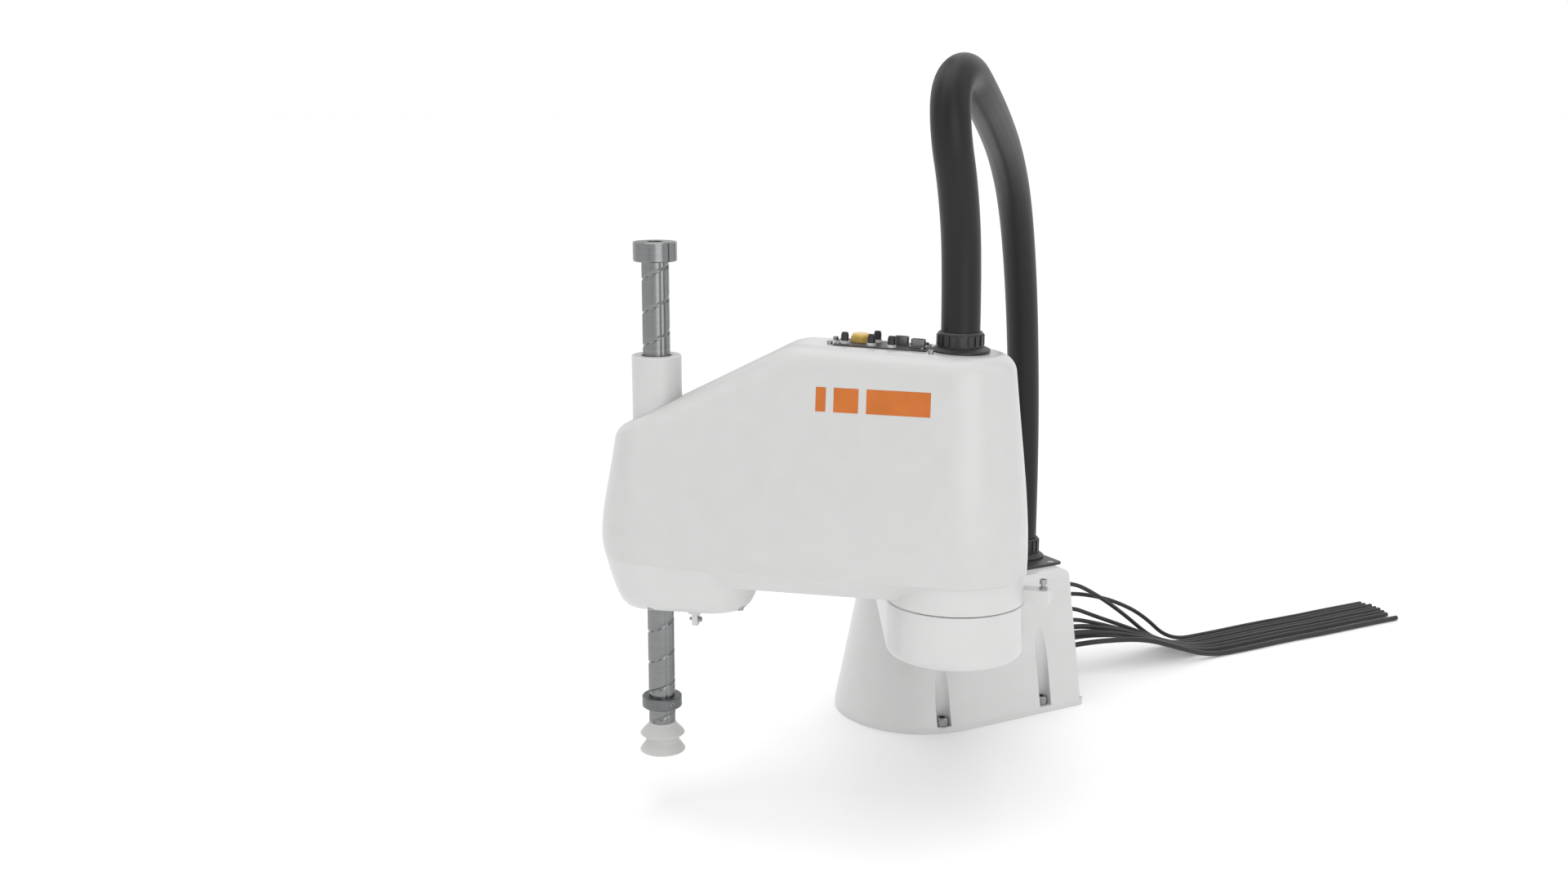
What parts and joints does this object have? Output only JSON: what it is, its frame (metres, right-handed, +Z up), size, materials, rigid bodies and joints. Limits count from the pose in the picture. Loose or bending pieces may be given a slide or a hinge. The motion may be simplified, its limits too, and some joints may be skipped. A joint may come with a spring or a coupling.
{
  "type": "scara robot arm",
  "caption": "Four-axis SCARA robot arm with a tapered base, swinging inner and outer arms, a sliding and turning quill with a suction cup, an arching conduit hose and loose cable tails.",
  "frame": {"origin": "shoulder axis on the mounting plane under the base", "axes": "+Z up along the shoulder axis, +X forward away from the cable exit, +Y to the left"},
  "size_m": [1.1345, 0.4411, 0.6996],
  "materials": {
    "white_casting": "white powder coat, smooth satin",
    "white_cover": "white moulded plastic, satin",
    "chrome_steel": "ground and polished",
    "dark_steel": "blackened",
    "steel_screws": "zinc plated",
    "aluminium_parts": "machined",
    "motor_black": "black anodised",
    "black_plastic": "moulded",
    "dark_plate": "dark anodised sheet",
    "hose_black": "semi-gloss with faint streaks",
    "cable_black": "smooth jacket",
    "belt_rubber": "matte",
    "lamp_yellow": "translucent amber",
    "cup_silicone": "white silicone",
    "orange_mark": "printed mark"
  },
  "bodies": {
    "base": {"base_casting": "white_casting", "shoulder_reducer": "aluminium_parts", "shoulder_motor": "motor_black", "rear_panel": "dark_plate", "plate_screws": "steel_screws", "cable_1": "cable_black", "cable_2": "cable_black", "cable_3": "cable_black", "cable_4": "cable_black", "cable_5": "cable_black", "cable_6": "cable_black", "cable_7": "cable_black", "cable_8": "cable_black", "cable_glands": "black_plastic", "hose_plate": "dark_plate", "lower_hose_flange": "black_plastic", "lower_hose_nut": "black_plastic", "hose": "hose_black"},
    "inner_arm": {"inner_arm_casting": "white_casting", "inner_arm_lid": "aluminium_parts", "inner_lid_screws": "steel_screws", "shoulder_output": "dark_steel", "elbow_reducer": "aluminium_parts"},
    "outer_arm": {"outer_arm_casting": "white_casting", "underside_screws": "steel_screws", "underside_ring": "white_casting", "stop_screw": "steel_screws", "hanging_clip": "white_cover", "clip_screw": "steel_screws", "outer_arm_cover": "white_cover", "roof_screws": "steel_screws", "upper_sleeve": "white_cover", "control_panel": "dark_plate", "fitting_bases": "white_cover", "air_fittings": "black_plastic", "signal_lamp": "lamp_yellow", "cable_connectors": "aluminium_parts", "elbow_output": "dark_steel", "elbow_motor": "motor_black", "motor_plate": "aluminium_parts", "bearing_bridge": "aluminium_parts", "spline_bearing": "dark_steel", "turn_belt": "belt_rubber", "turn_motor": "motor_black", "lift_belt": "belt_rubber", "lift_motor": "motor_black", "upper_hose_flange": "black_plastic", "upper_hose_nut": "black_plastic"},
    "spline": {"spline_nut": "dark_steel", "turn_pulley": "aluminium_parts"},
    "turn_drive": {"turn_pinion": "aluminium_parts"},
    "lift_drive": {"lift_nut": "dark_steel", "lift_pulley": "aluminium_parts"},
    "lift_motor_drive": {"lift_pinion": "aluminium_parts"},
    "quill": {"quill_shaft": "chrome_steel", "top_collar": "chrome_steel", "low_collar": "dark_steel", "collar_screws": "steel_screws", "cup_stem": "steel_screws", "suction_cup": "cup_silicone"}
  },
  "joints": [
    {"name": "shoulder_turn", "type": "hinge", "parent": "base", "child": "inner_arm", "pos_m": [0, 0, 0.1735], "axis": [0, 0, 1], "range_deg": [-193.4, 70.6], "deforming": ["hose"]},
    {"name": "elbow_turn", "type": "hinge", "parent": "inner_arm", "child": "outer_arm", "pos_m": [0.15557, 0.28534, 0.2245], "axis": [0, 0, 1], "range_deg": [-36.5, 243.5]},
    {"name": "quill_turn", "type": "hinge", "parent": "outer_arm", "child": "spline", "pos_m": [0.35962, 0.10098, 0.23], "axis": [0, 0, 1], "range_deg": [-360, 360]},
    {"name": "quill_lift", "type": "slide", "parent": "spline", "child": "quill", "axis": [0, 0, 1], "range_m": [-0.084, 0.09]},
    {"name": "turn_motor_spin", "type": "hinge", "parent": "outer_arm", "child": "turn_drive", "pos_m": [0.27742, 0.14425, 0.25], "axis": [0, 0, 1], "range_deg": [-720, 720]},
    {"name": "lift_nut_spin", "type": "hinge", "parent": "outer_arm", "child": "lift_drive", "pos_m": [0.35962, 0.10098, 0.31], "axis": [0, 0, 1], "continuous": true},
    {"name": "lift_motor_spin", "type": "hinge", "parent": "outer_arm", "child": "lift_motor_drive", "pos_m": [0.30826, 0.17838, 0.32], "axis": [0, 0, 1], "continuous": true}
  ],
  "couplings": [
    {"joint": "turn_motor_spin", "follows": "quill_turn", "ratio": 2},
    {"joint": "lift_nut_spin", "follows": "quill_lift", "rad_per_m": -209.44},
    {"joint": "lift_motor_spin", "follows": "quill_lift", "rad_per_m": -418.88}
  ]
}
